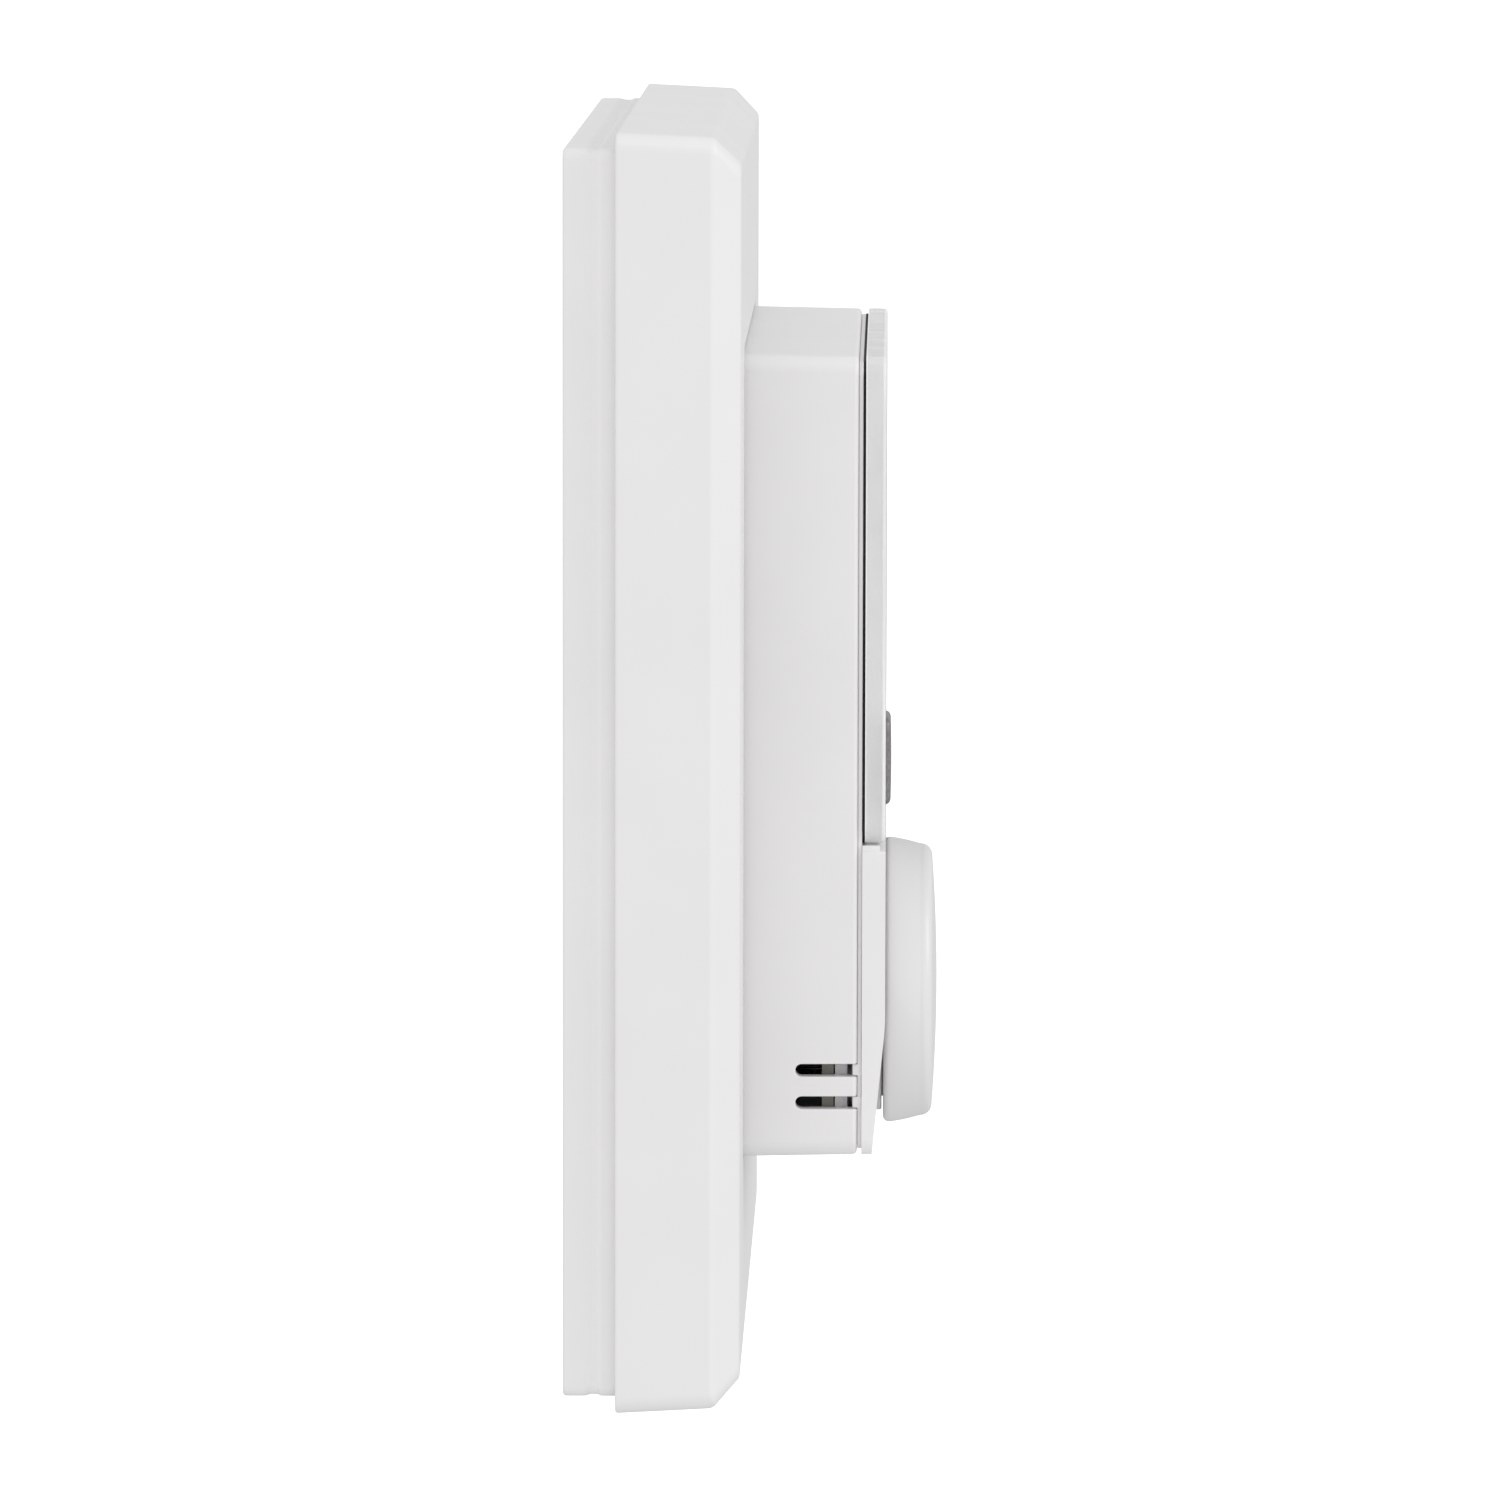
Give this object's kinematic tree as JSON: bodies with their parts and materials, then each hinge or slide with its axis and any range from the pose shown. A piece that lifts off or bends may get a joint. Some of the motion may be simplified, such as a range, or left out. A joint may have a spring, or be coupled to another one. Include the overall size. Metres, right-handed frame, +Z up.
{
  "type": "programmable timer",
  "caption": "Square wall timer for heating or ventilation: framed surface box, plug-on display module with square push-button and turn-and-push knob.",
  "frame": {"origin": "centre of the wall box's flat back, on the wall", "axes": "+X right as seen from the front, +Z up, +Y into the wall, so the display and knob face -Y"},
  "size_m": [0.085, 0.0249, 0.085],
  "materials": {
    "box_plastic": "white moulded plastic, fine satin grain",
    "frame_plastic": "white moulded plastic, satin gloss",
    "casing_plastic": "white moulded plastic, satin gloss",
    "carrier_plastic": "white moulded plastic, satin",
    "plate_plastic": "white moulded plastic, satin gloss",
    "knob_plastic": "white moulded plastic, satin gloss",
    "core_plastic": "mid grey moulded plastic, matt",
    "silver_button": "silver-grey painted plastic, fine grain",
    "clear_lens": "clear acrylic with a white print on its back",
    "black_foam": "black adhesive foam, matt",
    "display_glass": "liquid crystal cell, polished",
    "diffuser": "translucent white diffuser, satin",
    "holder_plastic": "light grey moulded plastic, matt",
    "grey_plastic": "grey moulded plastic, matt",
    "cover_plastic": "light grey moulded plastic, matt",
    "connector_plastic": "black moulded plastic, matt",
    "chip_plastic": "black epoxy, matt",
    "terminal_plastic": "green moulded plastic, matt",
    "relay_case": "blue plastic case, satin",
    "film_case": "yellow plastic case, satin",
    "fuse_case": "black plastic case, satin",
    "varistor_coat": "blue epoxy coat, satin",
    "sensor_coat": "black epoxy bead, matt",
    "strip_rubber": "layered conductive rubber, matt",
    "dark_board": "dark glass-epoxy board with solder mask",
    "green_board": "green glass-epoxy board with solder mask",
    "ferrite": "dark grey ferrite, matt",
    "copper_wire": "enamelled copper wire, glossy",
    "can_aluminium": "drawn aluminium can, satin",
    "cell_steel": "nickel-plated steel, satin",
    "spring_steel": "tempered steel strip, satin",
    "plated_steel": "zinc-plated steel, satin",
    "screw_steel": "zinc-plated steel, satin",
    "cage_brass": "nickel brass, satin"
  },
  "bodies": {
    "base": {"air_sensor": "sensor_coat", "back_box": "box_plastic", "backlight_panel": "diffuser", "backup_cell": "cell_steel", "board_header": "connector_plastic", "board_screw_1": "screw_steel", "board_screw_2": "screw_steel", "cell_clip": "spring_steel", "clock_crystal": "can_aluminium", "contact_strip": "strip_rubber", "control_board": "dark_board", "display_holder": "holder_plastic", "display_lens": "clear_lens", "encoder_body": "plated_steel", "frame_cover": "frame_plastic", "front_carrier": "carrier_plastic", "front_casing": "casing_plastic", "fuse": "fuse_case", "header_socket": "connector_plastic", "lcd_panel": "display_glass", "lens_gasket": "black_foam", "lower_plate": "plate_plastic", "mains_capacitor": "film_case", "microcontroller": "chip_plastic", "module_screw_1": "screw_steel", "module_screw_2": "screw_steel", "module_spring_left": "spring_steel", "module_spring_right": "spring_steel", "power_board": "green_board", "power_cover": "cover_plastic", "rear_cover": "grey_plastic", "relay": "relay_case", "smoothing_capacitor_1": "can_aluminium", "smoothing_capacitor_2": "can_aluminium", "support_plate": "plated_steel", "support_screw_1": "screw_steel", "support_screw_2": "screw_steel", "support_screw_3": "screw_steel", "support_screw_4": "screw_steel", "tact_switch": "connector_plastic", "terminal_block": "terminal_plastic", "terminal_cage_1": "cage_brass", "terminal_cage_2": "cage_brass", "terminal_cage_3": "cage_brass", "terminal_cage_4": "cage_brass", "terminal_screw_1": "screw_steel", "terminal_screw_2": "screw_steel", "terminal_screw_3": "screw_steel", "terminal_screw_4": "screw_steel", "transformer_coil": "copper_wire", "transformer_core": "ferrite", "varistor": "varistor_coat"},
    "menu_button": {"menu_button": "silver_button", "switch_plunger": "connector_plastic"},
    "push_stage": {"encoder_plunger": "connector_plastic"},
    "knob": {"knob_cap": "knob_plastic", "knob_core": "core_plastic", "encoder_shaft": "plated_steel"}
  },
  "joints": [
    {"name": "knob_push", "type": "slide", "parent": "base", "child": "push_stage", "axis": [0, 1, 0], "range_m": [0, 0.0004], "stiffness_N_per_m": 2500, "springref_m": -0.0006},
    {"name": "knob_turn", "type": "hinge", "parent": "push_stage", "child": "knob", "pos_m": [-0.014, -0.0212, -0.01695], "axis": [0, -1, 0], "continuous": true},
    {"name": "menu_press", "type": "slide", "parent": "base", "child": "menu_button", "axis": [0, 1, 0], "range_m": [0, 0.00025], "stiffness_N_per_m": 2500, "springref_m": -0.0004}
  ]
}
